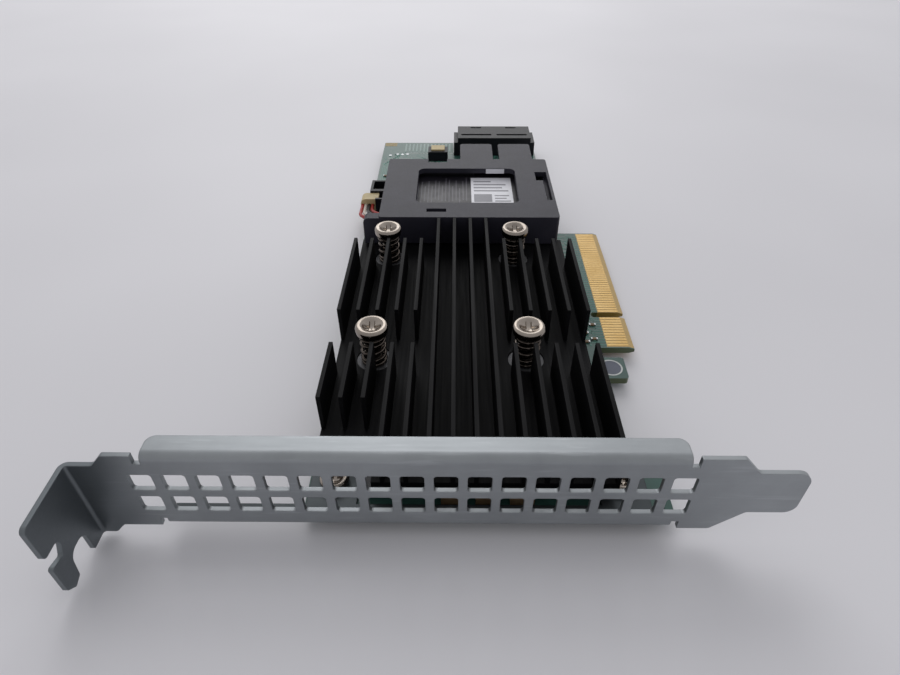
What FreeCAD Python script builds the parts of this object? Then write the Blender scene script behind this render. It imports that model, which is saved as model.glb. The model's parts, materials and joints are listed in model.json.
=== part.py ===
"""RAID controller card: a low-profile PCI Express x8 board on a full-height bracket.

The row frame: the origin is the middle of the key notch on the finger edge, at the
component face of the board. +X points out of the card into the slot, +Y runs from the
bracket to the rear edge, +Z rises from the component face. Millimetres.
"""
import FreeCAD
import Part

import math
import os

import Sketcher
from FreeCAD import Rotation, Vector

doc = FreeCAD.newDocument("raid_controller_card")
sheet = doc.addObject("Spreadsheet::Sheet", "Sizes")
sheet_rows = []
sub_parts = []


class Size:
    """A length that holds its number and its formula on the Sizes sheet."""

    def __init__(self, value, formula):
        self.value = value
        self.formula = formula

    def __add__(self, other):
        other = as_size(other)
        return Size(self.value + other.value, f"({self.formula} + {other.formula})")

    def __radd__(self, other):
        return as_size(other) + self

    def __sub__(self, other):
        other = as_size(other)
        return Size(self.value - other.value, f"({self.formula} - {other.formula})")

    def __rsub__(self, other):
        return as_size(other) - self

    def __mul__(self, number):
        number = as_size(number)
        return Size(self.value * number.value, f"({self.formula} * {number.formula})")

    def __rmul__(self, number):
        return self * number

    def __truediv__(self, number):
        number = as_size(number)
        return Size(self.value / number.value, f"({self.formula} / {number.formula})")

    def __neg__(self):
        return self * -1


def as_size(thing):
    """A Size as it is, or a plain number as one."""
    return thing if isinstance(thing, Size) else Size(float(thing), f"({thing})")


def size(alias, value):
    """Writes one driving size on the sheet and returns it."""
    sheet_rows.append(alias)
    row = len(sheet_rows)
    sheet.set(f"A{row}", alias)
    sheet.set(f"B{row}", str(value))
    sheet.setAlias(f"B{row}", alias)
    return Size(float(value), f"Sizes.{alias}")


# ---------------------------------------------------------------- helpers

def bind(thing, place, length):
    """Ties a property to a formula on the sheet."""
    thing.setExpression(place, as_size(length).formula)


def move(thing, x, y, z):
    """Ties the place of a sub-part to the sheet."""
    for axis, length in zip("xyz", (x, y, z)):
        bind(thing, f"Placement.Base.{axis}", length)


def start_body(label):
    """A new PartDesign body for one sub-part."""
    body = doc.addObject("PartDesign::Body", label)
    body.Label = label
    sub_parts.append(body)
    return body


def sketch_on(body, name, plane, level=0):
    """A sketch on an XY, XZ or YZ origin plane of the body, at a level along world Z, Y or X."""
    sketch = body.newObject("Sketcher::SketchObject", f"{body.Name}_{name}")
    role = f"{plane}_Plane"
    support = [feature for feature in body.Origin.OriginFeatures if feature.Role == role]
    sketch.AttachmentSupport = [(support[0], "")]
    sketch.MapMode = "FlatFace"
    bind(sketch, "AttachmentOffset.Base.z", -as_size(level) if plane == "XZ" else level)
    return sketch


def pin_point(sketch, geometry, end, x, y):
    """Fixes one point of a sketch by its two coordinates."""
    for kind, length in (("DistanceX", as_size(x)), ("DistanceY", as_size(y))):
        number = sketch.addConstraint(Sketcher.Constraint(kind, geometry, end, length.value))
        bind(sketch, f"Constraints[{number}]", length)


def corner_arc(before, corner, after, radius):
    """Where the arc that rounds a corner between two straight runs starts, and its other points."""
    inward = (before - corner).normalize()
    outward = (after - corner).normalize()
    half_turn = inward.getAngle(outward) / 2
    reach = radius / math.tan(half_turn)
    centre = corner + (inward + outward).normalize() * (radius / math.sin(half_turn))
    middle = centre + (corner - centre).normalize() * radius
    return corner + inward * reach, middle, corner + outward * reach, centre


def sketch_arc(first, last, centre, left_turn):
    """The arc between two points of a sketch, which runs anticlockwise as sketches keep it."""
    ends = (first, last) if left_turn else (last, first)
    angles = [math.atan2(point.y - centre.y, point.x - centre.x) for point in ends]
    circle = Part.Circle(centre, Vector(0, 0, 1), centre.distanceToPoint(first))
    return Part.ArcOfCircle(circle, angles[0], angles[1])


def draw_outline(sketch, corners):
    """A closed outline. A corner is (x, y), or (x, y, radius) where it is rounded."""
    points = [Vector(as_size(corner[0]).value, as_size(corner[1]).value, 0) for corner in corners]
    starts, ends, arcs = list(points), points[1:] + points[:1], {}
    for place, corner in enumerate(corners):
        if len(corner) == 3:
            before, here, after = points[place - 1], points[place], points[(place + 1) % len(points)]
            first, middle, last, centre = corner_arc(before, here, after, as_size(corner[2]).value)
            left_turn = (here - before).cross(after - here).z > 0
            arcs[place] = (sketch_arc(first, last, centre, left_turn), 1 if left_turn else 2)
            ends[place - 1] = first
            starts[place] = last
    sides = [sketch.addGeometry(Part.LineSegment(start, end)) for start, end in zip(starts, ends)]
    for place, corner in enumerate(corners):
        before, after = sides[place - 1], sides[place]
        if place not in arcs:
            sketch.addConstraint(Sketcher.Constraint("Coincident", before, 2, after, 1))
            pin_point(sketch, after, 1, corner[0], corner[1])
            continue
        curve, near_end = arcs[place]
        arc = sketch.addGeometry(curve)
        sketch.addConstraint(Sketcher.Constraint("Tangent", before, 2, arc, near_end))
        sketch.addConstraint(Sketcher.Constraint("Tangent", arc, 3 - near_end, after, 1))
        number = sketch.addConstraint(Sketcher.Constraint("Radius", arc, as_size(corner[2]).value))
        bind(sketch, f"Constraints[{number}]", corner[2])
        mark = sketch.addGeometry(Part.Point(points[place]), True)
        sketch.addConstraint(Sketcher.Constraint("PointOnObject", mark, 1, before))
        sketch.addConstraint(Sketcher.Constraint("PointOnObject", mark, 1, after))
        pin_point(sketch, mark, 1, corner[0], corner[1])


def draw_rectangle(sketch, low_x, low_y, high_x, high_y, radius=None):
    """A rectangle between two corners, with all four corners rounded where a radius is given."""
    corners = [(low_x, low_y), (high_x, low_y), (high_x, high_y), (low_x, high_y)]
    draw_outline(sketch, [corner + (radius,) for corner in corners] if radius else corners)


def draw_circle(sketch, x, y, radius):
    """A circle by its centre and radius."""
    centre = Vector(as_size(x).value, as_size(y).value, 0)
    circle = sketch.addGeometry(Part.Circle(centre, Vector(0, 0, 1), as_size(radius).value))
    pin_point(sketch, circle, 3, x, y)
    number = sketch.addConstraint(Sketcher.Constraint("Radius", circle, as_size(radius).value))
    bind(sketch, f"Constraints[{number}]", radius)


def lies_on(sketch, role):
    """Whether the sketch lies on the origin plane with that role."""
    return sketch.AttachmentSupport[0][0].Role == role


def pad(body, sketch, length):
    """Adds the sketch's area from its level towards larger world coordinates."""
    feature = body.newObject("PartDesign::Pad", f"{sketch.Name}_pad")
    feature.Profile = sketch
    feature.Reversed = lies_on(sketch, "XZ_Plane")
    bind(feature, "Length", length)
    doc.recompute()
    return feature


def cut(body, sketch, length):
    """Removes the sketch's area from its level towards larger world coordinates."""
    volume = body.Shape.Volume
    feature = body.newObject("PartDesign::Pocket", f"{sketch.Name}_cut")
    feature.Profile = sketch
    feature.Reversed = not lies_on(sketch, "XZ_Plane")
    bind(feature, "Length", length)
    doc.recompute()
    if body.Shape.Volume > volume - 1e-6:
        raise RuntimeError(f"{feature.Name} removes nothing")
    return feature


def repeat(body, feature, axis, count, pitch):
    """Repeats a feature along an axis of its own sketch."""
    pattern = body.newObject("PartDesign::LinearPattern", f"{feature.Name}_row")
    pattern.Originals = [feature]
    pattern.Direction = (feature.Profile[0], [axis])
    pattern.Mode = "Spacing"
    bind(pattern, "Offset", pitch)
    bind(pattern, "Occurrences", count)
    body.Tip = pattern
    doc.recompute()
    return pattern


def turn(body, sketch):
    """Spins a profile drawn on the XZ plane a full turn about the body's own Z axis."""
    feature = body.newObject("PartDesign::Revolution", f"{sketch.Name}_turn")
    feature.Profile = sketch
    feature.ReferenceAxis = (sketch, ["V_Axis"])
    feature.Angle = 360
    doc.recompute()
    return feature


def along(edge, direction):
    """Whether a straight edge runs along a direction."""
    if edge.Curve.TypeId != "Part::GeomLine":
        return False
    return abs(abs(edge.Curve.Direction.dot(direction)) - 1) < 1e-6


def round_edges(body, name, radius, chosen):
    """Rounds the edges of the body that the function chosen accepts."""
    feature = body.newObject("PartDesign::Fillet", f"{body.Name}_{name}")
    edges = body.Tip.Shape.Edges if body.Tip != feature else feature.BaseFeature.Shape.Edges
    names = [f"Edge{number}" for number, edge in enumerate(edges, 1) if chosen(edge)]
    if not names:
        raise RuntimeError(f"{feature.Name} finds no edges")
    feature.Base = (feature.BaseFeature, names)
    bind(feature, "Radius", radius)
    doc.recompute()
    return feature


def block(label, x, y, z, length, width, height):
    """A plain box as a sub-part, by its low corner and its size."""
    box = doc.addObject("Part::Box", label)
    box.Label = label
    bind(box, "Length", length)
    bind(box, "Width", width)
    bind(box, "Height", height)
    move(box, x, y, z)
    return box


def box_part(label, *box):
    """A plain box that is a sub-part by itself."""
    sub_parts.append(block(label, *box))


# ---------------------------------------------------------------- sizes

# Printed circuit board
board_width = size("board_width", 68.9)
board_thick = size("board_thick", 1.57)
board_front = size("board_front", 57.6)
board_rear = size("board_rear", 107.15)
shoulder_depth = size("shoulder_depth", 9.0)
finger_front = size("finger_front", 12.6)
finger_rear = size("finger_rear", 39.6)
key_width = size("key_width", 1.9)
key_depth = size("key_depth", 8.2)
key_corner = size("key_corner", 0.855)
front_ear_edge = size("front_ear_edge", 2.9)
front_ear_rear = size("front_ear_rear", 48.5)
edge_recess = size("edge_recess", 7.9)
rear_recess = size("rear_recess", 12.9)
lobe_edge = size("lobe_edge", 3.5)
lobe_front = size("lobe_front", 22.9)
lobe_rear = size("lobe_rear", 15.9)
bevel_run = size("bevel_run", 1.3)
bevel_drop = size("bevel_drop", 0.45)
board_corner = size("board_corner", 0.8)

# Gold edge contacts
contact_pitch = size("contact_pitch", 1.0)
contact_width = size("contact_width", 0.7)
contact_inner = size("contact_inner", 6.3)
contact_thick = size("contact_thick", 0.05)
contact_first = size("contact_first", 1.5)
contacts_front = size("contacts_front", 11)
contacts_rear = size("contacts_rear", 38)

# Folded bracket, measured from its tab face, its front face and its lower edge
sheet_thick = size("sheet_thick", 0.86)
bend_radius = size("bend_radius", 0.54)
tab_face = size("tab_face", 104.86)
bracket_front = size("bracket_front", 60.5)
bracket_length = size("bracket_length", 120.02)
bracket_width = size("bracket_width", 18.42)
tab_depth = size("tab_depth", 11.9)
tab_top = size("tab_top", 15.97)
tab_tail = size("tab_tail", 2.16)
tab_corner = size("tab_corner", 1.0)
hook_height = size("hook_height", 8.3044)
hook_drop = size("hook_drop", 3.3537)
hook_lip = size("hook_lip", 0.71865)
hook_inset = size("hook_inset", 0.5)
hook_reach = size("hook_reach", 1.2)
hook_corner = size("hook_corner", 0.5)
hook_curve = size("hook_curve", 1.2)
tail_bevel = size("tail_bevel", 1.6)
tail_step = size("tail_step", 0.7)
tail_corner = size("tail_corner", 0.4)
slot_height = size("slot_height", 3.315)
slot_corner = size("slot_corner", 2.0)
slot_lip = size("slot_lip", 0.3)
wing_left = size("wing_left", 7.4)
wing_slope = size("wing_slope", 4.1)
wing_step = size("wing_step", 2.2)
wing_rise = size("wing_rise", 2.1)
wing_fall = size("wing_fall", 3.0)
wing_corner = size("wing_corner", 0.8)
plate_corner = size("plate_corner", 0.6)
wing_right = size("wing_right", 108.3)
tongue_start = size("tongue_start", 112.0)
tongue_low = size("tongue_low", 4.81)
tongue_width = size("tongue_width", 10.19)
tongue_shift = size("tongue_shift", 0.3)
tongue_foot = size("tongue_foot", 1.0)
tongue_low_corner = size("tongue_low_corner", 2.0)
tongue_top_corner = size("tongue_top_corner", 2.5)
flange_left = size("flange_left", 13.3)
flange_right = size("flange_right", 100.1)
flange_depth = size("flange_depth", 4.4)
lower_flange_depth = size("lower_flange_depth", 3.9)
flange_corner = size("flange_corner", 1.6)
relief_width = size("relief_width", 1.3)
relief_depth = size("relief_depth", 2.0)
slot_width = size("slot_width", 4.42)
slot_centre = size("slot_centre", 5.65)
vent_size = size("vent_size", 4.0)
vent_corner = size("vent_corner", 0.6)
vent_pitch = size("vent_pitch", 5.504)
vent_row_pitch = size("vent_row_pitch", 5.64)
vent_columns = size("vent_columns", 17)
vent_first = size("vent_first", 11.97)
vent_low_row = size("vent_low_row", 6.2)
ear_width = size("ear_width", 9.0)
ear_depth = size("ear_depth", 13.2)
ear_corner = size("ear_corner", 4.0)
ear_left = size("ear_left", 40.9)
ear_right = size("ear_right", 93.5)
ear_screw_depth = size("ear_screw_depth", 8.7)
ear_screw_radius = size("ear_screw_radius", 1.45)
ear_head_radius = size("ear_head_radius", 2.75)
ear_head_height = size("ear_head_height", 1.9)
ear_head_round = size("ear_head_round", 1.1)
ear_thread = size("ear_thread", 1.28)

# Heat sink, measured from its own front left corner
fin_count = size("fin_count", 14)
fin_pitch = size("fin_pitch", 4.15)
fin_thick = size("fin_thick", 0.8)
fin_height = size("fin_height", 8.5)
fin_length = size("fin_length", 79.5)
side_fins = size("side_fins", 5)
short_fins = size("short_fins", 3)
sink_left = size("sink_left", 67.56)
sink_front = size("sink_front", 55.0)
sink_length = size("sink_length", 82.5)
sink_gap = size("sink_gap", 3.2)
base_thick = size("base_thick", 1.8)
channel_front = size("channel_front", 28.2)
channel_rear = size("channel_rear", 39.0)
side_fin_rear = size("side_fin_rear", 69.0)
short_fin_front = size("short_fin_front", 12.5)
corner_front = size("corner_front", 10.5)
screw_left = size("screw_left", 8.2)
screw_inset = size("screw_inset", 13.85)
screw_front = size("screw_front", 32.7)
screw_rear = size("screw_rear", 73.0)
spot_radius = size("spot_radius", 3.9)
spot_depth = size("spot_depth", 0.3)

# Spring screws and their press-in nuts
head_radius = size("head_radius", 3.45)
head_seat = size("head_seat", 12.0)
head_edge = size("head_edge", 1.5)
head_dome = size("head_dome", 1.0)
head_flat = size("head_flat", 1.8975)
head_corner = size("head_corner", 0.7)
head_curve = size("head_curve", 1.5)
thread_length = size("thread_length", 1.44)
recess_reach = size("recess_reach", 1.9)
recess_width = size("recess_width", 0.8)
recess_depth = size("recess_depth", 1.3)
shoulder_radius = size("shoulder_radius", 1.75)
thread_radius = size("thread_radius", 1.2)
screw_clearance = size("screw_clearance", 0.25)
thread_gap = size("thread_gap", 0.05)
spring_radius = size("spring_radius", 2.5)
wire_radius = size("wire_radius", 0.35)
spring_turns = size("spring_turns", 4)
wire_sides = size("wire_sides", 6)
nut_radius = size("nut_radius", 2.75)
nut_height = size("nut_height", 1.6)

# Controller and the pad that carries its heat
chip_side = size("chip_side", 27.0)
chip_x = size("chip_x", 43.0)
chip_y = size("chip_y", 12.5)
chip_substrate = size("chip_substrate", 1.1)
chip_lid_side = size("chip_lid_side", 22.0)
chip_lid_thick = size("chip_lid_thick", 1.8)

# Battery carrier, measured from its own front left corner
carrier_left = size("carrier_left", 62.56)
carrier_front = size("carrier_front", 24.7)
carrier_width = size("carrier_width", 48.4)
carrier_length = size("carrier_length", 37.0)
carrier_top = size("carrier_top", 13.5)
carrier_low = size("carrier_low", 4.6)
carrier_wall = size("carrier_wall", 1.5)
carrier_clearance = size("carrier_clearance", 0.5)
carrier_corner = size("carrier_corner", 0.8)
window_left = size("window_left", 9.5)
window_inset = size("window_inset", 10.1)
window_front = size("window_front", 8.3)
window_rear = size("window_rear", 30.1)
window_corner = size("window_corner", 2.0)
tongue_wide = size("tongue_wide", 10.2)
tongue_inset = size("tongue_inset", 4.0)
tongue_gap = size("tongue_gap", 2.0)
tongue_reach = size("tongue_reach", 11.8)
tongue_corner = size("tongue_corner", 1.0)
cavity_corner = size("cavity_corner", 1.5)
foot_reach = size("foot_reach", 4.2)
foot_depth = size("foot_depth", 3.0)
foot_corner = size("foot_corner", 1.5)
foot_drop = size("foot_drop", 0.4)
latch_wall = size("latch_wall", 0.8)
latch_sink = size("latch_sink", 0.5)
latch_width = size("latch_width", 3.4)
latch_gap = size("latch_gap", 1.4)
latch_front = size("latch_front", 10.0)
latch_arm = size("latch_arm", 12.2)
latch_rear = size("latch_rear", 27.8)
slit_left = size("slit_left", 12.7)
slit_front = size("slit_front", 3.0)
slit_width = size("slit_width", 5.3)
slit_depth = size("slit_depth", 1.8)
notch_left = size("notch_left", 12.1)
notch_width = size("notch_width", 5.8)
notch_depth = size("notch_depth", 2.5)
post_side = size("post_side", 4.0)
post_corner = size("post_corner", 0.6)
post_front = size("post_front", 4.3)
peg_radius = size("peg_radius", 1.2)
peg_length = size("peg_length", 2.3)
peg_gap = size("peg_gap", 0.1)
rail_thick = size("rail_thick", 1.0)
rail_width = size("rail_width", 4.0)
rail_inset = size("rail_inset", 2.0)
lead_door_front = size("lead_door_front", 8.5)
lead_door_rear = size("lead_door_rear", 15.5)
lead_door_top = size("lead_door_top", 9.0)
lead_door_gap = size("lead_door_gap", 0.5)

# Battery pack inside the carrier
battery_left = size("battery_left", 4.5)
battery_front = size("battery_front", 6.5)
battery_right = size("battery_right", 4.9)
battery_rear = size("battery_rear", 3.5)
battery_thick = size("battery_thick", 4.9)
battery_edge = size("battery_edge", 1.2)

# Battery lead and the header it plugs into
header_left = size("header_left", 68.86)
header_front = size("header_front", 51.1)
header_width = size("header_width", 5.0)
header_length = size("header_length", 13.0)
header_height = size("header_height", 5.2)
header_wall = size("header_wall", 0.8)
header_floor = size("header_floor", 0.7)
header_bar = size("header_bar", 1.4)
plug_reach = size("plug_reach", 2.6)
plug_grip = size("plug_grip", 2.9)
plug_width = size("plug_width", 4.2)
plug_height = size("plug_height", 3.9)
plug_gap = size("plug_gap", 0.2)
plug_corner = size("plug_corner", 1.6)
lead_radius = size("lead_radius", 0.5)
lead_pitch = size("lead_pitch", 1.05)
lead_low = size("lead_low", 2.6)
lead_high = size("lead_high", 6.5)
lead_margin = size("lead_margin", 1.9)
lead_edge = size("lead_edge", 0.6)
lead_rise = size("lead_rise", 1.6)
lead_run = size("lead_run", 6.0)
lead_straight = size("lead_straight", 4.0)
lead_landing = size("lead_landing", 2.6)

# Dual SAS connector at the rear edge
sas_left = size("sas_left", 41.2)
sas_width = size("sas_width", 26.3)
sas_depth = size("sas_depth", 11.2)
sas_height = size("sas_height", 6.6)
sas_inset = size("sas_inset", 0.4)
sas_skirt = size("sas_skirt", 1.45)
sas_skirt_height = size("sas_skirt_height", 4.9)
sas_skirt_inset = size("sas_skirt_inset", 1.5)
port_width = size("port_width", 10.9)
port_height = size("port_height", 4.4)
port_depth = size("port_depth", 8.5)
port_floor = size("port_floor", 1.0)
port_pitch = size("port_pitch", 12.9)
port_corner = size("port_corner", 0.4)
port_latch_width = size("port_latch_width", 3.8)
port_latch_front = size("port_latch_front", 9.4)
port_latch_length = size("port_latch_length", 0.9)
groove_front = size("groove_front", 2.6)
groove_length = size("groove_length", 1.2)
groove_depth = size("groove_depth", 0.6)
blade_width = size("blade_width", 8.6)
blade_thick = size("blade_thick", 1.0)
blade_length = size("blade_length", 5.0)

# Small parts on the board
rear_header_left = size("rear_header_left", 51.9)
rear_header_front = size("rear_header_front", 90.6)
rear_header_width = size("rear_header_width", 7.0)
rear_header_length = size("rear_header_length", 5.0)
rear_header_height = size("rear_header_height", 3.4)
rear_header_wall = size("rear_header_wall", 1.1)
rear_header_floor = size("rear_header_floor", 0.8)
insert_height = size("insert_height", 3.9)
inductor_side = size("inductor_side", 5.6)
inductor_height = size("inductor_height", 2.8)
inductor_pitch = size("inductor_pitch", 7.2)
inductor_left = size("inductor_left", 58.6)
inductor_front = size("inductor_front", 54.6)
can_width = size("can_width", 4.3)
can_length = size("can_length", 7.3)
can_height = size("can_height", 2.0)
can_left = size("can_left", 44.4)
can_front = size("can_front", 56.2)
can_pitch = size("can_pitch", 6.2)
flash_width = size("flash_width", 8.0)
flash_length = size("flash_length", 6.0)
flash_height = size("flash_height", 0.9)
flash_left = size("flash_left", 54.0)
flash_front = size("flash_front", 40.0)
flash_pitch = size("flash_pitch", 9.0)
cap_width = size("cap_width", 0.8)
cap_length = size("cap_length", 1.6)
cap_height = size("cap_height", 0.8)
coupling_offset = size("coupling_offset", 1.505)
coupling_front = size("coupling_front", 1.9)
coupling_pitch = size("coupling_pitch", 2.4)
coupling_count = size("coupling_count", 12)
decoupling_side = size("decoupling_side", 18.0)
decoupling_pitch = size("decoupling_pitch", 3.0)
decoupling_count = size("decoupling_count", 6)

# Memory chips
memory_front = size("memory_front", 5.0)
memory_width = size("memory_width", 8.0)
memory_length = size("memory_length", 11.2)
memory_height = size("memory_height", 1.1)
memory_pitch = size("memory_pitch", 9.6)

doc.recompute()

# Places and spans that follow from the sizes above
sheet_outside = bend_radius + sheet_thick
sink_width = (fin_count - 1) * fin_pitch + fin_thick
base_top = sink_gap + base_thick
side_span = (side_fins - 0.5) * fin_pitch + fin_thick / 2
short_span = (short_fins - 0.5) * fin_pitch + fin_thick / 2
sas_front = board_rear - sas_inset - sas_depth
window_right = carrier_width - window_inset
tongue_two = carrier_width - tongue_inset - tongue_wide
tongue_one = tongue_two - tongue_gap - tongue_wide
battery_width = carrier_width - battery_left - battery_right
battery_length = carrier_length - battery_front - battery_rear
ear_places = [ear_left, ear_right]
sink_screws = [(x, y) for y in (screw_front, screw_rear) for x in (screw_left, sink_width - screw_inset)]
far = 200


# ---------------------------------------------------------------- circuit board

def post_places():
    """The centres of the four carrier posts, from the carrier's corner."""
    xs = (post_side / 2, carrier_width - post_side / 2)
    ys = (post_front + post_side / 2, carrier_length - post_side / 2)
    return [(x, y) for y in ys for x in xs]


def make_board():
    """The board with its finger tongue, key notch, side lobe and holes."""
    body = start_body("circuit_board")
    plan = sketch_on(body, "plan", "XY", -board_thick)
    half_key = key_width / 2
    draw_outline(plan, [
        (-board_width, -board_front, board_corner),
        (-front_ear_edge, -board_front, board_corner),
        (-front_ear_edge, -front_ear_rear, board_corner),
        (-edge_recess, -front_ear_rear),
        (-edge_recess, -lobe_front),
        (-lobe_edge, -lobe_front, board_corner),
        (-lobe_edge, -lobe_rear, board_corner),
        (-shoulder_depth, -lobe_rear),
        (-shoulder_depth, -finger_front),
        (0, -finger_front),
        (0, -half_key),
        (-key_depth, -half_key, key_corner),
        (-key_depth, half_key, key_corner),
        (0, half_key),
        (0, finger_rear),
        (-rear_recess, finger_rear),
        (-rear_recess, board_rear, board_corner),
        (-board_width, board_rear, board_corner),
    ])
    pad(body, plan, board_thick)
    bevel = sketch_on(body, "bevel", "XZ", -finger_front - 1)
    for face, tip in ((0, -bevel_drop), (-board_thick, bevel_drop - board_thick)):
        draw_outline(bevel, [(-bevel_run, face), (0, face), (0, tip)])
    cut(body, bevel, finger_front + finger_rear + 2)
    holes = sketch_on(body, "holes", "XY", -board_thick - 1)
    for x, y in sink_screws:
        draw_circle(holes, x - sink_left, y - sink_front, thread_radius + screw_clearance)
    for x in ear_places:
        draw_circle(holes, x - tab_face, ear_screw_depth - bracket_front, ear_screw_radius + thread_gap)
    for x, y in post_places():
        draw_circle(holes, x - carrier_left, y + carrier_front, peg_radius + peg_gap)
    cut(body, holes, board_thick + 2)


def make_contacts(label, level):
    """One face's row of gold contacts, either side of the key notch."""
    body = start_body(label)
    plan = sketch_on(body, "plan", "XY", level)
    half = contact_width / 2
    draw_rectangle(plan, -contact_inner, contact_first - half, -bevel_run, contact_first + half)
    rear = pad(body, plan, contact_thick)
    repeat(body, rear, "V_Axis", contacts_rear, contact_pitch)
    front_plan = sketch_on(body, "front_plan", "XY", level)
    last = -contact_first - (contacts_front - 1) * contact_pitch
    draw_rectangle(front_plan, -contact_inner, last - half, -bevel_run, last + half)
    front = pad(body, front_plan, contact_thick)
    repeat(body, front, "V_Axis", contacts_front, contact_pitch)


# ---------------------------------------------------------------- bracket

def draw_tab(sketch):
    """The bent tab, seen along X: a screw slot, a side slot and a fish-tail between them."""
    slot_near = -slot_centre + slot_width / 2
    slot_far = -slot_centre - slot_width / 2
    tail_front = -tab_depth
    draw_outline(sketch, [
        (sheet_thick, tab_top),
        (tail_front, tab_top, tab_corner),
        (tail_front, hook_height, wing_corner),
        (slot_far + hook_inset, hook_height, hook_curve),
        (slot_far - hook_reach, hook_height - hook_drop, hook_corner),
        (tail_front, hook_height - hook_drop + hook_lip, hook_corner),
        (tail_front, tail_bevel - tab_tail, hook_corner),
        (tail_front + tail_bevel, -tab_tail, tail_corner),
        (slot_far - tail_step, tail_step - tab_tail, tail_corner),
        (slot_far, slot_height, slot_corner),
        (slot_near, slot_height, slot_corner),
        (slot_near, -tab_tail, slot_lip),
        (sheet_thick, -tab_tail),
    ])


def make_bracket():
    """The folded steel bracket, in the frame of its tab face, front face and lower edge."""
    body = start_body("bracket")
    plate = sketch_on(body, "plate", "XZ")
    tongue_top = tongue_low + tongue_width
    draw_outline(plate, [
        (0, -tab_tail),
        (wing_left - wing_slope, -tab_tail, wing_corner),
        (wing_left - wing_step, 0, wing_corner),
        (tongue_start - tongue_low - tongue_shift, 0, tongue_foot),
        (tongue_start, tongue_low, wing_corner),
        (bracket_length, tongue_low, tongue_low_corner),
        (bracket_length, tongue_top, tongue_top_corner),
        (wing_right + wing_fall, tongue_top, wing_corner),
        (wing_right, bracket_width, plate_corner),
        (wing_left, bracket_width, plate_corner),
        (wing_left - wing_rise, tab_top, wing_corner),
        (0, tab_top),
    ])
    pad(body, plate, sheet_thick)
    tab = sketch_on(body, "tab", "YZ")
    draw_tab(tab)
    pad(body, tab, sheet_thick)
    upper = sketch_on(body, "upper_flange", "XY", bracket_width - sheet_thick)
    draw_outline(upper, [
        (flange_left, 0),
        (flange_right, 0),
        (flange_right, flange_depth, flange_corner),
        (flange_left, flange_depth, flange_corner),
    ])
    pad(body, upper, sheet_thick)
    lower = sketch_on(body, "lower_flange", "XY")
    corners = [(flange_left, lower_flange_depth), (flange_left, 0), (flange_right, 0),
               (flange_right, lower_flange_depth)]
    for ear in reversed(ear_places):
        right, left = ear + ear_width / 2, ear - ear_width / 2
        corners += [(right, lower_flange_depth), (right, ear_depth, ear_corner),
                    (left, ear_depth, ear_corner), (left, lower_flange_depth)]
    draw_outline(lower, corners)
    pad(body, lower, sheet_thick)
    relief = sketch_on(body, "relief", "XZ", -1)
    for low, high in ((bracket_width - relief_depth, bracket_width + 1), (-1, relief_depth)):
        for left in (flange_left - relief_width, flange_right):
            draw_rectangle(relief, left, low, left + relief_width, high)
    cut(body, relief, flange_depth)
    half = vent_size / 2
    for row, height in (("low", vent_low_row), ("high", vent_low_row + vent_row_pitch)):
        vent = sketch_on(body, f"{row}_vent", "XZ", -1)
        draw_rectangle(vent, vent_first - half, height - half, vent_first + half,
                       height + half, vent_corner)
        repeat(body, cut(body, vent, sheet_thick + 2), "H_Axis", vent_columns, vent_pitch)
    screws = sketch_on(body, "ear_holes", "XY", -1)
    for ear in ear_places:
        draw_circle(screws, ear, ear_screw_depth, ear_screw_radius + thread_gap)
    cut(body, screws, sheet_thick + 2)
    thick, width = sheet_thick.value, bracket_width.value
    left, right = flange_left.value, flange_right.value

    def on_fold(edge, y, z):
        """Whether an edge lies on a fold line of the two flanges."""
        middle = edge.CenterOfMass
        near = abs(middle.y - y) < 1e-4 and abs(middle.z - z) < 1e-4
        return near and along(edge, Vector(1, 0, 0)) and left < middle.x < right

    def on_tab(edge, x, y):
        """Whether an edge lies on the fold line of the tab."""
        middle = edge.CenterOfMass
        near = abs(middle.x - x) < 1e-4 and abs(middle.y - y) < 1e-4
        return near and along(edge, Vector(0, 0, 1))

    round_edges(body, "inside_bends", bend_radius, lambda edge: on_fold(edge, thick, width - thick)
                or on_fold(edge, thick, thick) or on_tab(edge, thick, 0))
    round_edges(body, "outside_bends", sheet_outside, lambda edge: on_fold(edge, 0, width)
                or on_fold(edge, 0, 0) or on_tab(edge, 0, thick))
    move(body, -tab_face, -bracket_front, 0)


def make_ear_screw(label, ear):
    """A pan-head screw down through a bracket ear and the board."""
    body = start_body(label)
    profile = sketch_on(body, "profile", "XZ")
    length = sheet_thick + board_thick + ear_thread
    draw_outline(profile, [
        (0, -length),
        (ear_screw_radius, -length),
        (ear_screw_radius, 0),
        (ear_head_radius, 0),
        (ear_head_radius, ear_head_height, ear_head_round),
        (0, ear_head_height),
    ])
    turn(body, profile)
    cut_cross(body, ear_head_height)
    move(body, ear - tab_face, ear_screw_depth - bracket_front, sheet_thick)


def cut_cross(body, top):
    """The cross recess in a screw head whose top is at this height."""
    cross = sketch_on(body, "cross", "XY", top - recess_depth)
    reach, half = recess_reach, recess_width / 2
    draw_outline(cross, [
        (reach, -half), (reach, half), (half, half), (half, reach), (-half, reach),
        (-half, half), (-reach, half), (-reach, -half), (-half, -half), (-half, -reach),
        (half, -reach), (half, -half),
    ])
    cut(body, cross, recess_depth + 1)


# ---------------------------------------------------------------- heat sink

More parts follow.
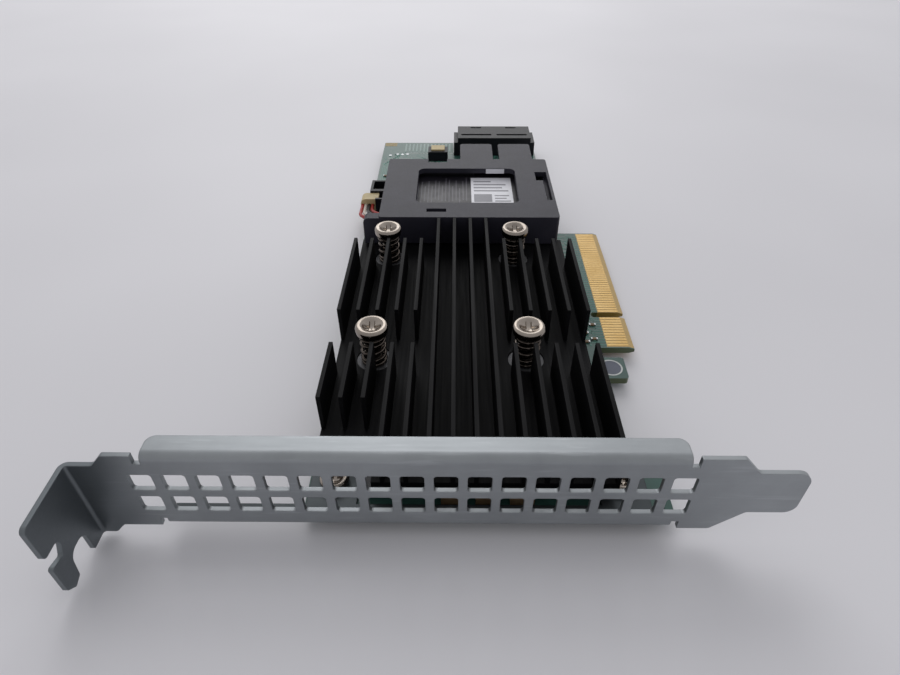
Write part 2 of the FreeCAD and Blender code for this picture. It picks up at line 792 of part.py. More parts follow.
def make_heat_sink():
    """The extruded fins, cross-cut round the screws and cleared at the front left corner."""
    body = start_body("heat_sink")
    base = sketch_on(body, "base", "XY")
    draw_outline(base, [
        (0, corner_front),
        (short_span, corner_front),
        (short_span, 0),
        (sink_width, 0),
        (sink_width, sink_length),
        (0, sink_length),
    ])
    pad(body, base, base_thick)
    fin = sketch_on(body, "fin", "XY", base_thick)
    draw_rectangle(fin, 0, 0, fin_thick, fin_length)
    first = pad(body, fin, fin_height)
    repeat(body, first, "H_Axis", fin_count, fin_pitch)
    milled = sketch_on(body, "milled", "XY", base_thick)
    right_start = sink_width - side_span
    draw_rectangle(milled, -1, -1, short_span, short_fin_front)
    for low, high in ((-1, side_span), (right_start, sink_width + 1)):
        draw_rectangle(milled, low, channel_front, high, channel_rear)
        draw_rectangle(milled, low, side_fin_rear, high, fin_length + 1)
    cut(body, milled, fin_height + 1)
    spots = sketch_on(body, "spots", "XY", base_thick - spot_depth)
    holes = sketch_on(body, "holes", "XY", -1)
    for x, y in sink_screws:
        draw_circle(spots, x, y, spot_radius)
        draw_circle(holes, x, y, shoulder_radius + screw_clearance)
    cut(body, spots, spot_depth + 1)
    cut(body, holes, base_thick + 2)
    move(body, -sink_left, -sink_front, sink_gap)


def make_sink_screw(label, x, y):
    """A domed shoulder screw that stands on the board and threads into its nut."""
    body = start_body(label)
    profile = sketch_on(body, "profile", "XZ")
    top = head_seat + head_edge + head_dome
    draw_outline(profile, [
        (0, -board_thick - thread_length),
        (thread_radius, -board_thick - thread_length),
        (thread_radius, 0),
        (shoulder_radius, 0),
        (shoulder_radius, head_seat),
        (head_radius, head_seat),
        (head_radius, head_seat + head_edge, head_corner),
        (head_flat, top, head_curve),
        (0, top),
    ])
    turn(body, profile)
    cut_cross(body, top)
    move(body, x - sink_left, y - sink_front, 0)


def make_spring(label, x, y):
    """The coil spring between a spot-face and its screw head."""
    seat = base_top - spot_depth
    height = head_seat - seat - wire_radius * 2
    coil = doc.addObject("Part::Helix", f"{label}_coil")
    bind(coil, "Radius", spring_radius)
    bind(coil, "Height", height)
    bind(coil, "Pitch", height / spring_turns)
    section = doc.addObject("Part::RegularPolygon", f"{label}_wire")
    bind(section, "Polygon", wire_sides)
    bind(section, "Circumradius", wire_radius)
    section.Placement.Rotation = Rotation(Vector(1, 0, 0), 90)
    bind(section, "Placement.Base.x", spring_radius)
    spring = doc.addObject("Part::Sweep", label)
    spring.Label = label
    spring.Sections = [section]
    spring.Spine = (coil, ["Edge1"])
    spring.Solid = True
    spring.Frenet = True
    move(spring, x - sink_left, y - sink_front, seat + wire_radius)
    sub_parts.append(spring)


def make_nuts(label, places, bore, height):
    """The press-in nuts under the board, one solid for each screw."""
    rings = []
    for number, (x, y) in enumerate(places, 1):
        outer = doc.addObject("Part::Cylinder", f"{label}_{number}")
        inner = doc.addObject("Part::Cylinder", f"{label}_bore_{number}")
        for cylinder, radius in ((outer, nut_radius), (inner, bore)):
            bind(cylinder, "Radius", radius)
            bind(cylinder, "Height", height)
            move(cylinder, x, y, -board_thick - height)
        ring = doc.addObject("Part::Cut", f"{label}_ring_{number}")
        ring.Base = outer
        ring.Tool = inner
        rings.append(ring)
    group = doc.addObject("Part::Compound", label)
    group.Label = label
    group.Links = rings
    sub_parts.append(group)


# ---------------------------------------------------------------- battery

def make_carrier():
    """The moulded battery carrier, in the frame of its front left corner."""
    body = start_body("battery_carrier")
    plan = sketch_on(body, "plan", "XY", carrier_low)
    draw_rectangle(plan, 0, 0, carrier_width, carrier_length, carrier_corner)
    pad(body, plan, carrier_top - carrier_low)
    tongues = sketch_on(body, "tongues", "XY", carrier_top - carrier_wall)
    for left in (tongue_one, tongue_two):
        draw_outline(tongues, [
            (left, carrier_length - 1),
            (left + tongue_wide, carrier_length - 1),
            (left + tongue_wide, carrier_length + tongue_reach, tongue_corner),
            (left, carrier_length + tongue_reach, tongue_corner),
        ])
    pad(body, tongues, carrier_wall)
    foot = sketch_on(body, "front_foot", "XZ")
    foot_top = carrier_top - foot_drop
    draw_outline(foot, [
        (carrier_corner, carrier_low),
        (carrier_corner, foot_top),
        (-foot_reach, foot_top, foot_corner),
        (-foot_reach, carrier_low),
    ])
    pad(body, foot, foot_depth)
    cavity = sketch_on(body, "cavity", "XY", carrier_low - 1)
    draw_rectangle(cavity, carrier_wall, carrier_wall, carrier_width - carrier_wall,
                   carrier_length - carrier_wall, cavity_corner)
    cut(body, cavity, carrier_top - carrier_wall - carrier_low + 1)
    rails = sketch_on(body, "rails", "XY", carrier_low)
    rear_rail = battery_front + battery_length - rail_inset - rail_width
    for y in (battery_front + rail_inset, rear_rail):
        draw_rectangle(rails, carrier_wall / 2, y, carrier_width - carrier_wall / 2, y + rail_width)
    pad(body, rails, rail_thick)
    posts = sketch_on(body, "posts", "XY")
    half = post_side / 2
    for x, y in post_places():
        draw_rectangle(posts, x - half, y - half, x + half, y + half, post_corner)
    pad(body, posts, carrier_low + rail_thick)
    pegs = sketch_on(body, "pegs", "XY", -peg_length)
    for x, y in post_places():
        draw_circle(pegs, x, y, peg_radius)
    pad(body, pegs, peg_length)
    openings = sketch_on(body, "openings", "XY", carrier_top - carrier_wall - latch_sink)
    draw_rectangle(openings, window_left, window_front, window_right, window_rear, window_corner)
    draw_rectangle(openings, slit_left, slit_front, slit_left + slit_width, slit_front + slit_depth)
    latch_right = carrier_width - latch_wall
    draw_outline(openings, [
        (latch_right - latch_gap, latch_front),
        (latch_right, latch_front),
        (latch_right, latch_rear),
        (latch_right - latch_width, latch_rear),
        (latch_right - latch_width, latch_front + latch_arm),
        (latch_right - latch_gap, latch_front + latch_arm),
    ])
    cut(body, openings, carrier_wall + latch_sink + 1)
    notch = sketch_on(body, "rear_notch", "XY", carrier_low - 1)
    draw_rectangle(notch, notch_left, carrier_length - notch_depth, notch_left + notch_width,
                   carrier_length + 1)
    cut(body, notch, carrier_top)
    step = sketch_on(body, "sink_step", "XY", carrier_low - 1)
    draw_rectangle(step, -far, -1, far, post_front)
    cut(body, step, base_top + carrier_clearance - carrier_low + 1)
    door = sketch_on(body, "lead_door", "YZ", -1)
    draw_rectangle(door, lead_door_front, carrier_low - 1, lead_door_rear, lead_door_top)
    cut(body, door, carrier_wall + lead_door_gap + 1)
    move(body, -carrier_left, carrier_front, 0)


def make_battery():
    """The wrapped battery pack on the carrier's rails."""
    body = start_body("battery_pack")
    plan = sketch_on(body, "plan", "XY")
    draw_rectangle(plan, 0, 0, battery_width, battery_length, battery_edge)
    pad(body, plan, battery_thick)
    move(body, battery_left - carrier_left, battery_front + carrier_front, carrier_low + rail_thick)


def make_header():
    """The battery header, with an open pocket and a mouth in its front left corner."""
    body = start_body("battery_header")
    plan = sketch_on(body, "plan", "XY")
    draw_rectangle(plan, 0, 0, header_width, header_length)
    pad(body, plan, header_height)
    inner = header_width - header_wall
    mouth_rear = header_wall + plug_width + plug_gap * 2
    pockets = sketch_on(body, "pockets", "XY", header_floor)
    draw_outline(pockets, [
        (-1, -1),
        (plug_grip - header_wall, -1),
        (plug_grip - header_wall, header_wall),
        (inner, header_wall),
        (inner, mouth_rear),
        (-1, mouth_rear),
    ])
    draw_rectangle(pockets, header_wall, mouth_rear + header_bar, inner, header_length - header_wall)
    cut(body, pockets, header_height)
    move(body, -header_left, header_front, 0)


def make_plug():
    """The round-shouldered plug, lying in the header's mouth and standing out at its left."""
    body = start_body("battery_plug")
    profile = sketch_on(body, "profile", "XZ", header_wall + plug_gap)
    draw_outline(profile, [
        (-plug_reach, header_floor),
        (plug_grip, header_floor),
        (plug_grip, header_floor + plug_height),
        (-plug_reach, header_floor + plug_height, plug_corner),
    ])
    pad(body, profile, plug_width)
    move(body, -header_left, header_front, 0)


def lead_path(points):
    """Straight runs joined by tangent arcs that are as large as the runs allow."""
    edges, start = [], points[0]
    for before, corner, after in zip(points, points[1:], points[2:]):
        inward, outward = before - corner, after - corner
        half_turn = (math.pi - inward.getAngle(outward)) / 2
        radius = 0.45 * min(inward.Length, outward.Length) / math.tan(half_turn)
        first, middle, last, centre = corner_arc(before, corner, after, radius)
        edges += [Part.LineSegment(start, first).toShape(), Part.Arc(first, middle, last).toShape()]
        start = last
        print(f"lead radius {radius:.2f}")
    edges.append(Part.LineSegment(start, points[-1]).toShape())
    return Part.Wire(edges)


def make_lead(label, number):
    """One insulated wire from the plug round into the carrier to the battery."""
    step = lead_pitch.value * number
    plug_x = lead_edge.value - plug_reach.value - header_left.value + step
    plug_y = header_front.value + header_wall.value + plug_gap.value
    door_x = -carrier_left.value
    door_y = carrier_front.value + lead_door_front.value + lead_margin.value + step
    end_x = battery_left.value - carrier_left.value
    low, high = lead_low.value, lead_high.value
    turn_y = door_y + lead_run.value - step * 0.3
    points = [
        Vector(plug_x, plug_y, low),
        Vector(plug_x, plug_y - lead_straight.value + step * 0.3, low),
        Vector(plug_x + lead_edge.value + step * 0.2, turn_y, high - lead_rise.value),
        Vector(door_x - lead_landing.value + step * 0.7, door_y, high),
        Vector(end_x, door_y, high),
    ]
    path = lead_path(points)
    start = points[0]
    circle = Part.Circle(start, points[1] - start, lead_radius.value)
    tube = path.makePipeShell([Part.Wire(circle.toShape())], True, False)
    lead = doc.addObject("Part::Feature", label)
    lead.Label = label
    lead.Shape = tube
    print(f"{label}: length {path.Length:.2f}, volume ratio "
          f"{tube.Volume / (math.pi * lead_radius.value ** 2 * path.Length):.4f}")
    sub_parts.append(lead)


# ---------------------------------------------------------------- connectors

def make_sas_connector():
    """The two-port connector housing, open to the rear, in the frame of its front left corner."""
    body = start_body("sas_connector")
    plan = sketch_on(body, "plan", "XY")
    draw_rectangle(plan, 0, 0, sas_width, sas_depth)
    pad(body, plan, sas_height)
    skirt = sketch_on(body, "skirt", "XY")
    draw_rectangle(skirt, -sas_skirt, 0, sas_width + sas_skirt, sas_depth - sas_skirt_inset)
    pad(body, skirt, sas_skirt_height)
    ports = sketch_on(body, "ports", "XZ", sas_depth - port_depth)
    latches = sketch_on(body, "latches", "XY", port_floor + port_height / 2)
    grooves = sketch_on(body, "grooves", "XY", sas_height - groove_depth)
    for side in (-1, 1):
        centre = sas_width / 2 + side * port_pitch / 2
        left, right = centre - port_width / 2, centre + port_width / 2
        draw_rectangle(ports, left, port_floor, right, port_floor + port_height, port_corner)
        draw_rectangle(latches, centre - port_latch_width / 2, port_latch_front,
                       centre + port_latch_width / 2, port_latch_front + port_latch_length)
        draw_rectangle(grooves, left, groove_front, right, groove_front + groove_length)
    cut(body, ports, port_depth + 1)
    cut(body, latches, sas_height)
    cut(body, grooves, groove_depth + 1)
    move(body, -sas_left, sas_front, 0)


def make_blade(label, side):
    """A port's contact blade, standing on the port's inner end."""
    centre = sas_width / 2 + side * port_pitch / 2 - sas_left
    box_part(label, centre - blade_width / 2, sas_front + sas_depth - port_depth,
             port_floor + (port_height - blade_thick) / 2, blade_width, blade_length, blade_thick)


def make_rear_header():
    """A small open header at the rear edge and the pale insert in it."""
    body = start_body("rear_header")
    plan = sketch_on(body, "plan", "XY")
    draw_rectangle(plan, 0, 0, rear_header_width, rear_header_length)
    pad(body, plan, rear_header_height)
    pocket = sketch_on(body, "pocket", "XY", rear_header_floor)
    inner = rear_header_width - rear_header_wall
    draw_rectangle(pocket, rear_header_wall, rear_header_wall, inner, rear_header_length + 1)
    cut(body, pocket, rear_header_height)
    move(body, -rear_header_left, rear_header_front, 0)
    box_part("rear_header_insert", rear_header_wall - rear_header_left,
             rear_header_front + rear_header_wall, rear_header_floor, inner - rear_header_wall,
             rear_header_length - rear_header_wall, insert_height - rear_header_floor)


def make_capacitors(label, rows, count, pitch, axis):
    """Rows of ceramic capacitors soldered under the board, from each row's low corner."""
    body = start_body(label)
    for number, (x, y) in enumerate(rows, 1):
        plan = sketch_on(body, f"row_{number}", "XY", -board_thick - cap_height)
        draw_rectangle(plan, x, y, x + cap_length, y + cap_width)
        repeat(body, pad(body, plan, cap_height), axis, count, pitch)


def make_board_parts():
    """Chips, inductors and capacitors that stand on the board or hang under it."""
    for number in range(1, 6):
        box_part(f"memory_chip_{number}", memory_pitch * (number - 3) - chip_x - memory_width / 2,
                 memory_front, 0, memory_width, memory_length, memory_height)
    for number in range(2):
        box_part(f"flash_chip_{number + 1}", flash_pitch * number - flash_left, flash_front, 0,
                 flash_width, flash_length, flash_height)
        box_part(f"inductor_{number + 1}", inductor_pitch * number - inductor_left, -inductor_front,
                 0, inductor_side, inductor_side, inductor_height)
    for number in range(3):
        box_part(f"can_capacitor_{number + 1}", can_pitch * number - can_left, -can_front, 0,
                 can_width, can_length, can_height)
    nut_edge = sink_width - screw_inset - sink_left + nut_radius
    coupling_x = (nut_edge - contact_inner) / 2 + coupling_offset
    make_capacitors("coupling_capacitors", [(coupling_x, coupling_front)], coupling_count,
                    coupling_pitch, "V_Axis")
    row_x = -chip_x - decoupling_pitch * (decoupling_count - 1) / 2 - cap_length / 2
    rows = [(row_x, side * decoupling_side / 2 - chip_y) for side in (-1, 1)]
    make_capacitors("decoupling_capacitors", rows, decoupling_count, decoupling_pitch, "H_Axis")


# ---------------------------------------------------------------- the card

def make_card():
    """Every sub-part, in the order in which the card is put together."""
    make_board()
    make_contacts("edge_contacts_front", 0)
    make_contacts("edge_contacts_back", -board_thick - contact_thick)
    make_bracket()
    make_ear_screw("bracket_screw_left", ear_left)
    make_ear_screw("bracket_screw_right", ear_right)
    make_heat_sink()
    for number, (x, y) in enumerate(sink_screws, 1):
        make_sink_screw(f"sink_screw_{number}", x, y)
        make_spring(f"sink_spring_{number}", x, y)
    make_nuts("sink_nuts", [(x - sink_left, y - sink_front) for x, y in sink_screws],
              thread_radius + thread_gap, nut_height)
    make_nuts("bracket_nuts", [(ear - tab_face, ear_screw_depth - bracket_front) for ear in ear_places],
              ear_screw_radius + thread_gap, nut_height)
    half, lid = chip_side / 2, chip_lid_side / 2
    box_part("controller_chip", -chip_x - half, -chip_y - half, 0, chip_side, chip_side, chip_substrate)
    box_part("controller_lid", -chip_x - lid, -chip_y - lid, chip_substrate, chip_lid_side,
             chip_lid_side, chip_lid_thick)
    pad_low = chip_substrate + chip_lid_thick
    box_part("thermal_pad", -chip_x - lid, -chip_y - lid, pad_low, chip_lid_side, chip_lid_side,
             sink_gap - pad_low)
    make_carrier()
    make_battery()
    make_header()
    make_plug()
    for number, colour in enumerate(("red", "white", "black", "red_inner")):
        make_lead(f"battery_lead_{colour}", number)
    make_sas_connector()
    make_blade("sas_blade_left", -1)
    make_blade("sas_blade_right", 1)
    make_rear_header()
    make_board_parts()


def check_model():
    """Stops the build where any object failed or any sub-part is not a valid shape."""
    doc.recompute()
    for thing in doc.Objects:
        if "Invalid" in thing.State or "Error" in thing.State:
            raise RuntimeError(f"{thing.Name} did not build: {thing.State}")
    for part in sub_parts:
        if part.Shape.isNull() or not part.Shape.isValid() or part.Shape.Volume <= 0:
            raise RuntimeError(f"{part.Label} has no valid shape")


def write_parts():
    """One STEP file for each sub-part."""
    os.makedirs("parts", exist_ok=True)
    for part in sub_parts:
        part.Shape.exportStep(f"parts/{part.Label}.step")


make_card()
check_model()
write_parts()
print(f"{len(sub_parts)} sub-parts")
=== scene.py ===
import math
import random

import bmesh
import bpy
from mathutils import Matrix, Vector
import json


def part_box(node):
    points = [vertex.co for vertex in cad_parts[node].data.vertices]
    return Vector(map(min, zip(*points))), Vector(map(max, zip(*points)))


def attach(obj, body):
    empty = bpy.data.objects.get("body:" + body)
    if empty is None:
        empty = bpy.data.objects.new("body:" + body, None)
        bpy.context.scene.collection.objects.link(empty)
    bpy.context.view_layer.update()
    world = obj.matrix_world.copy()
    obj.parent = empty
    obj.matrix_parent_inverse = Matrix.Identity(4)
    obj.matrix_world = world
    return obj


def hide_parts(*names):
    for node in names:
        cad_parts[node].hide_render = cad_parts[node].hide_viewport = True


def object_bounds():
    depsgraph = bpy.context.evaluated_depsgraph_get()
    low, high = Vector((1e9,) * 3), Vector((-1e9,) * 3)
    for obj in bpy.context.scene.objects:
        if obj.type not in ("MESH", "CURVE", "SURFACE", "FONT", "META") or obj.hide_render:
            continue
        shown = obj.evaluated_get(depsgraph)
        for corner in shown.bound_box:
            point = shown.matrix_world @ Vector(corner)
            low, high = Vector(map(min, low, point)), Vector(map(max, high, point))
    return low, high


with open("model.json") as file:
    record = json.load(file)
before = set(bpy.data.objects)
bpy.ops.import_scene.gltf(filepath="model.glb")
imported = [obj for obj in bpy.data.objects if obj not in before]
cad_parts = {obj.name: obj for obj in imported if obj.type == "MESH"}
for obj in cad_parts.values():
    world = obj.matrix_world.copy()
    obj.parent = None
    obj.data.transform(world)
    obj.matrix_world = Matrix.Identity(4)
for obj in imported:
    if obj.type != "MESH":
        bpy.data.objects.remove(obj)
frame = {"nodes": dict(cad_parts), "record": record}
cad_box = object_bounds()
MM = 0.001


# ---------------------------------------------------------------- node materials

class Finish:
    """A procedural material round one Principled shader, textured in the row frame."""

    def __init__(self, name, **sockets):
        self.material = bpy.data.materials.new(name)
        self.material.use_nodes = True
        self.nodes = self.material.node_tree.nodes
        self.links = self.material.node_tree.links
        self.shader = self.nodes["Principled BSDF"]
        for socket, value in sockets.items():
            self.shader.inputs[socket.replace("_", " ")].default_value = value
        self.place = self.nodes.new("ShaderNodeTexCoord").outputs["Object"]
        self.normal = None

    def put(self, target, value):
        """Links an output to a socket, or writes a plain value into it."""
        if isinstance(value, bpy.types.NodeSocket):
            self.links.new(value, target)
        else:
            target.default_value = value

    def stretched(self, stretch):
        """Row-frame coordinates multiplied along each axis."""
        mapping = self.nodes.new("ShaderNodeMapping")
        self.links.new(self.place, mapping.inputs["Vector"])
        mapping.inputs["Scale"].default_value = stretch
        return mapping.outputs["Vector"]

    def noise(self, size, detail=3.0, rough=0.5, stretch=(1, 1, 1)):
        """Noise with features about this many millimetres across."""
        noise = self.nodes.new("ShaderNodeTexNoise")
        self.links.new(self.stretched(stretch), noise.inputs["Vector"])
        noise.inputs["Scale"].default_value = 1 / (size * MM)
        noise.inputs["Detail"].default_value = detail
        noise.inputs["Roughness"].default_value = rough
        return noise.outputs["Fac"]

    def ramp(self, value, *stops):
        """A colour or grey ramp through (position, colour) stops."""
        ramp = self.nodes.new("ShaderNodeValToRGB")
        self.links.new(value, ramp.inputs["Fac"])
        points = ramp.color_ramp.elements
        while len(points) < len(stops):
            points.new(0.5)
        for point, (position, colour) in zip(points, stops):
            point.position = position
            grey = not isinstance(colour, (tuple, list))
            point.color = (colour, colour, colour, 1) if grey else (*colour[:3], 1)
        return ramp.outputs["Color"]

    def math(self, operation, first, second):
        """A math node's result."""
        node = self.nodes.new("ShaderNodeMath")
        node.operation = operation
        self.put(node.inputs[0], first)
        self.put(node.inputs[1], second)
        return node.outputs["Value"]

    def blend(self, share, first, second):
        """Two colours mixed."""
        mix = self.nodes.new("ShaderNodeMix")
        mix.data_type = "RGBA"
        self.put(mix.inputs["Factor"], share)
        self.put(mix.inputs[6], first)
        self.put(mix.inputs[7], second)
        return mix.outputs[2]

    def along(self, axis, low, high):
        """Rises from 0 to 1 between two places on an axis, in millimetres."""
        parts = self.nodes.new("ShaderNodeSeparateXYZ")
        self.links.new(self.place, parts.inputs["Vector"])
        ramp = self.nodes.new("ShaderNodeMapRange")
        self.links.new(parts.outputs[axis], ramp.inputs["Value"])
        ramp.inputs["From Min"].default_value = low * MM
        ramp.inputs["From Max"].default_value = high * MM
        return ramp.outputs["Result"]

    def facing(self, axis):
        """How far a face turns towards an axis, from 0 to 1."""
        parts = self.nodes.new("ShaderNodeSeparateXYZ")
        geometry = self.nodes.new("ShaderNodeNewGeometry")
        self.links.new(geometry.outputs["True Normal"], parts.inputs["Vector"])
        return self.math("ABSOLUTE", parts.outputs[axis], 0.0)

    def colour(self, value):
        self.put(self.shader.inputs["Base Color"], value)

    def rough(self, value, low, high):
        """Roughness that follows a value between two limits."""
        self.put(self.shader.inputs["Roughness"], self.ramp(value, (0.3, low), (0.7, high)))

    def soften(self, radius):
        """Catches light along edges as if they were rounded by this many millimetres."""
        bevel = self.nodes.new("ShaderNodeBevel")
        bevel.samples = 4
        bevel.inputs["Radius"].default_value = radius * MM
        self.normal = bevel.outputs["Normal"]
        self.links.new(self.normal, self.shader.inputs["Normal"])

    def bump(self, height, depth):
        """Relief of this many millimetres."""
        bump = self.nodes.new("ShaderNodeBump")
        bump.inputs["Strength"].default_value = 1.0
        bump.inputs["Distance"].default_value = depth * MM
        self.links.new(height, bump.inputs["Height"])
        if self.normal:
            self.links.new(self.normal, bump.inputs["Normal"])
        self.normal = bump.outputs["Normal"]
        self.links.new(self.normal, self.shader.inputs["Normal"])


def srgb(code):
    """A linear colour from its written hexadecimal value."""
    parts = [int(code[n:n + 2], 16) / 255 for n in (0, 2, 4)]
    return tuple(p / 12.92 if p < 0.04045 else ((p + 0.055) / 1.055) ** 2.4 for p in parts) + (1,)


def moulded(name, dark, light, grain, rough, edge=0.12, depth=0.01):
    """A moulded plastic with fine grain."""
    finish = Finish(name, Specular_IOR_Level=0.32)
    mottle = finish.noise(6, 4, 0.6)
    fine = finish.noise(grain, 2, 0.5)
    finish.colour(finish.ramp(mottle, (0.3, srgb(dark)), (0.7, srgb(light))))
    finish.rough(fine, rough - 0.06, rough + 0.06)
    finish.soften(edge)
    finish.bump(fine, depth)
    return finish


def plated(name, dark, light, rough, grain, stretch=(1, 1, 1), edge=0.15, depth=0.004):
    """A bare or plated metal with fine directional grain."""
    finish = Finish(name, Metallic=1.0)
    cloud = finish.noise(9, 4, 0.6)
    fine = finish.noise(grain, 3, 0.6, stretch)
    finish.colour(finish.ramp(cloud, (0.3, srgb(dark)), (0.7, srgb(light))))
    finish.rough(fine, rough - 0.07, rough + 0.07)
    finish.soften(edge)
    finish.bump(fine, depth)
    return finish


# Where the bare laminate of the finger tongue starts and ends, in millimetres
MASK_EDGE = -6.5, -6.4
TONGUE_FRONT = -12.3, -12.2
TONGUE_REAR = 39.3, 39.4
SIDE_FACING = 0.3


def solder_mask(name):
    """Green mask over laminate, bare at the bevelled contact edge and the cut sides."""
    finish = Finish(name)
    weave = finish.noise(0.5, 2, 0.5, (1, 3, 1))
    cloud = finish.noise(14, 4, 0.6)
    mask = finish.ramp(cloud, (0.3, srgb("2f5049")), (0.7, srgb("3e655c")))
    mask = finish.blend(finish.math("MULTIPLY", weave, 0.25), mask, srgb("274740"))
    bare = finish.ramp(weave, (0.3, srgb("b09256")), (0.7, srgb("c2a468")))
    past_mask = finish.along("X", *MASK_EDGE)
    past_front = finish.math("MULTIPLY", finish.along("Y", *TONGUE_FRONT), past_mask)
    before_rear = finish.math("SUBTRACT", 1.0, finish.along("Y", *TONGUE_REAR))
    tongue = finish.math("MULTIPLY", past_front, before_rear)
    cut_side = finish.math("LESS_THAN", finish.facing("Z"), SIDE_FACING)
    skin = finish.blend(tongue, mask, bare)
    cut = finish.blend(tongue, srgb("4f5b3c"), srgb("8f7834"))
    finish.colour(finish.blend(cut_side, skin, cut))
    finish.rough(cloud, 0.33, 0.45)
    finish.soften(0.05)
    finish.bump(finish.noise(2.2, 3, 0.6), 0.012)
    return finish


# Where the bracket gets darker, in millimetres. This copies tones in the photo as painted shade: a
# painted dark reflection on the tab and painted shade on the ears, the same under any lamp.
TAB_SHADE_FADE = -91.0, -100.0
EAR_SHADE_REAR_FADE = -59.6, -58.8
EAR_SHADE_HEIGHT_FADE = 3.0, 1.5
TAB_PAINTED_SHADE = 0.8


def bracket_steel(name):
    """Zinc-plated sheet with rolled grain and fine scratches, with painted shade on the tab and ears.
    """
    finish = Finish(name, Metallic=1.0)
    cloud = finish.noise(16, 5, 0.65)
    grain = finish.noise(0.7, 3, 0.6, (0.06, 1, 1))
    scratch = finish.noise(2.5, 2, 0.4, (0.25, 3, 3))
    base = finish.ramp(cloud, (0.3, srgb("979b9e")), (0.7, srgb("a9adb0")))
    worn = finish.ramp(scratch, (0.62, 0.0), (0.72, 1.0))
    zinc = finish.blend(finish.math("MULTIPLY", worn, 0.3), base, srgb("bcc0c3"))
    # Painted shade: a dark reflection painted on the tab and shade painted on the ears, placed by
    # position.
    tab_painted_shade = finish.math("MULTIPLY", finish.along("X", *TAB_SHADE_FADE), TAB_PAINTED_SHADE)
    ear_painted_shade = finish.math("MULTIPLY", finish.along("Y", *EAR_SHADE_REAR_FADE),
                       finish.along("Z", *EAR_SHADE_HEIGHT_FADE))
    zinc = finish.blend(tab_painted_shade, zinc, srgb("6c7276"))
    finish.colour(finish.blend(ear_painted_shade, zinc, srgb("4c5052")))
    finish.rough(finish.math("ADD", finish.math("MULTIPLY", cloud, 0.6),
                             finish.math("MULTIPLY", grain, 0.4)), 0.4, 0.56)
    finish.soften(0.3)
    finish.bump(grain, 0.003)
    return finish


def anodised(name):
    """Black anodised extrusion with draw lines along the fins."""
    finish = Finish(name, Specular_IOR_Level=0.12)
    lines = finish.noise(0.5, 3, 0.6, (1, 0.02, 1))
    cloud = finish.noise(8, 4, 0.6)
    base = finish.ramp(cloud, (0.3, srgb("060608")), (0.7, srgb("0b0b0d")))
    finish.colour(finish.blend(finish.math("MULTIPLY", lines, 0.4), base, srgb("111113")))
    finish.rough(lines, 0.5, 0.66)
    finish.soften(0.1)
    finish.bump(lines, 0.006)
    return finish


FINISHES = {
    "circuit_board": solder_mask("solder_mask"),
    "gold": plated("gold_plate", "bf9f66", "ceb17c", 0.48, 0.5, edge=0.02),
    "bracket_steel": bracket_steel("zinc_steel_painted_shade"),
    "nickel": plated("bright_nickel", "8f867e", "aca399", 0.17, 0.6, edge=0.08),
    "black_anodised": anodised("black_anodised"),
    "bare_metal": plated("machined_metal", "8b8b8e", "9b9b9e", 0.5, 0.3),
    "thermal_pad": moulded("thermal_pad", "8f9092", "9c9da0", 0.5, 0.8),
    "carrier_plastic": moulded("carrier_plastic", "26252f", "2f2e39", 0.22, 0.52, 0.18, 0.012),
    "battery_wrap": moulded("battery_wrap", "1b191f", "232128", 2.5, 0.38, 0.4, 0.006),
    "cream_plastic": moulded("cream_plastic", "b7a67c", "cab98f", 0.3, 0.5),
    "red_wire": moulded("red_wire", "96201c", "ae2e28", 0.4, 0.42),
    "white_wire": moulded("white_wire", "c3b9ae", "d6cdc2", 0.4, 0.42),
    "black_wire": moulded("black_wire", "1a1a1b", "262627", 0.4, 0.42),
    "black_plastic": moulded("black_plastic", "0e0e14", "15151c", 0.2, 0.48),
    "ferrite": moulded("ferrite", "4a4a4c", "58585a", 0.25, 0.6),
    "capacitor": moulded("ceramic_body", "7a6247", "937a5c", 0.2, 0.45),
}
# Painted shade: the springs are the screws' metal, coloured darker to stand in for the shade under
# the heads.
SHADED_SPRING = plated("spring_metal_painted_shade", "4c4641", "68605a", 0.25, 0.4, edge=0.02)
SPOT = plated("spot_metal", "646466", "727274", 0.6, 0.3)
COMB = moulded("comb_ink", "92a39e", "a1b1ac", 0.4, 0.6, 0.01, 0.004)
TRACK = moulded("covered_track", "457a6d", "548d7e", 0.5, 0.4, 0.02, 0.003)
INK = moulded("board_ink", "c4c8c6", "d8dad8", 0.4, 0.6, 0.01, 0.004)
SOLDER = plated("solder", "9a9c9e", "b4b6b8", 0.35, 0.3, edge=0.02)
SLATE = moulded("slate_pad", "5a5f6c", "666b78", 0.4, 0.5, 0.01, 0.004)
TAN = moulded("bare_laminate", "8d7c50", "9c8b5e", 0.6, 0.5, 0.01, 0.004)
LABEL = moulded("label_film", "dadae0", "e6e6ec", 1.2, 0.35, 0.02, 0.01)
BAR = moulded("label_bar", "8a8a90", "97979d", 0.5, 0.45, 0.01, 0.004)
PRINT = moulded("wrap_print", "4c4a52", "5a5860", 0.5, 0.4, 0.01, 0.004)
for part in frame["record"]["subparts"]:
    node = frame["nodes"][part["node"]]
    material = FINISHES[part["material_slot"]].material
    for number in range(len(node.data.materials)):
        node.data.materials[number] = material
    if not node.data.materials:
        node.data.materials.append(material)


# ---------------------------------------------------------------- pieces

def piece(name, build, finish, replaced=None):
    """A new piece, built in millimetres in the row frame, that rides on the card."""
    work = bmesh.new()
    build(work)
    bmesh.ops.transform(work, matrix=Matrix.Scale(MM, 4), verts=work.verts)
    mesh = bpy.data.meshes.new(name)
    work.to_mesh(mesh)
    work.free()
    mesh.materials.append(finish.material)
    thing = bpy.data.objects.new(name, mesh)
    bpy.context.scene.collection.objects.link(thing)
    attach(thing, "root")
    if replaced:
        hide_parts(replaced)
    return thing


def circle(work, x, y, radius, level, sides):
    """A loop of points round an axis."""
    return [work.verts.new((x + radius * math.cos(turn), y + radius * math.sin(turn), level))
            for turn in (math.tau * step / sides for step in range(sides))]


